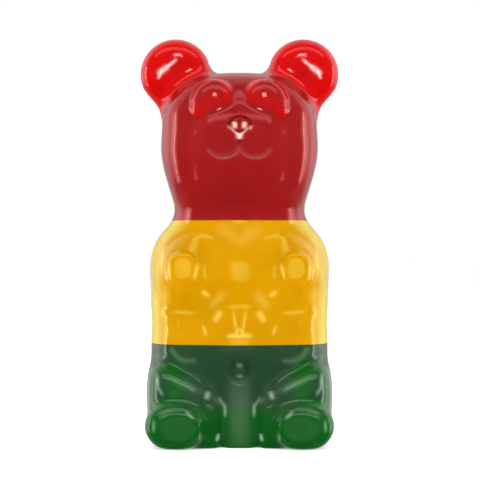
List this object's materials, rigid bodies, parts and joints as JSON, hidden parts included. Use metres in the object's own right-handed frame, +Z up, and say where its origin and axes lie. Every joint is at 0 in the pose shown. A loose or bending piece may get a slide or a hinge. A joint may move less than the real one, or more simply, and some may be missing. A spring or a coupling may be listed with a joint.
{
  "type": "giant gummy bear",
  "caption": "Large moulded gelatine bear in red, yellow and green layers: a firm, translucent sweet that stands upright on its flat base and is sliced to serve.",
  "frame": {"origin": "centre of the bounding box at the table that the bear stands on", "axes": "+Z up through the head, -Y the way the bear faces, +X towards the bear's left ear"},
  "size_m": [0.1176, 0.0924, 0.2401],
  "materials": {
    "red_gelatine": "smooth glossy translucent red gelatine",
    "yellow_gelatine": "smooth glossy translucent amber yellow gelatine",
    "green_gelatine": "smooth glossy translucent dark green gelatine"
  },
  "bodies": {
    "root": {"red_layer": "red_gelatine", "yellow_layer": "yellow_gelatine", "green_layer": "green_gelatine"}
  },
  "joints": []
}
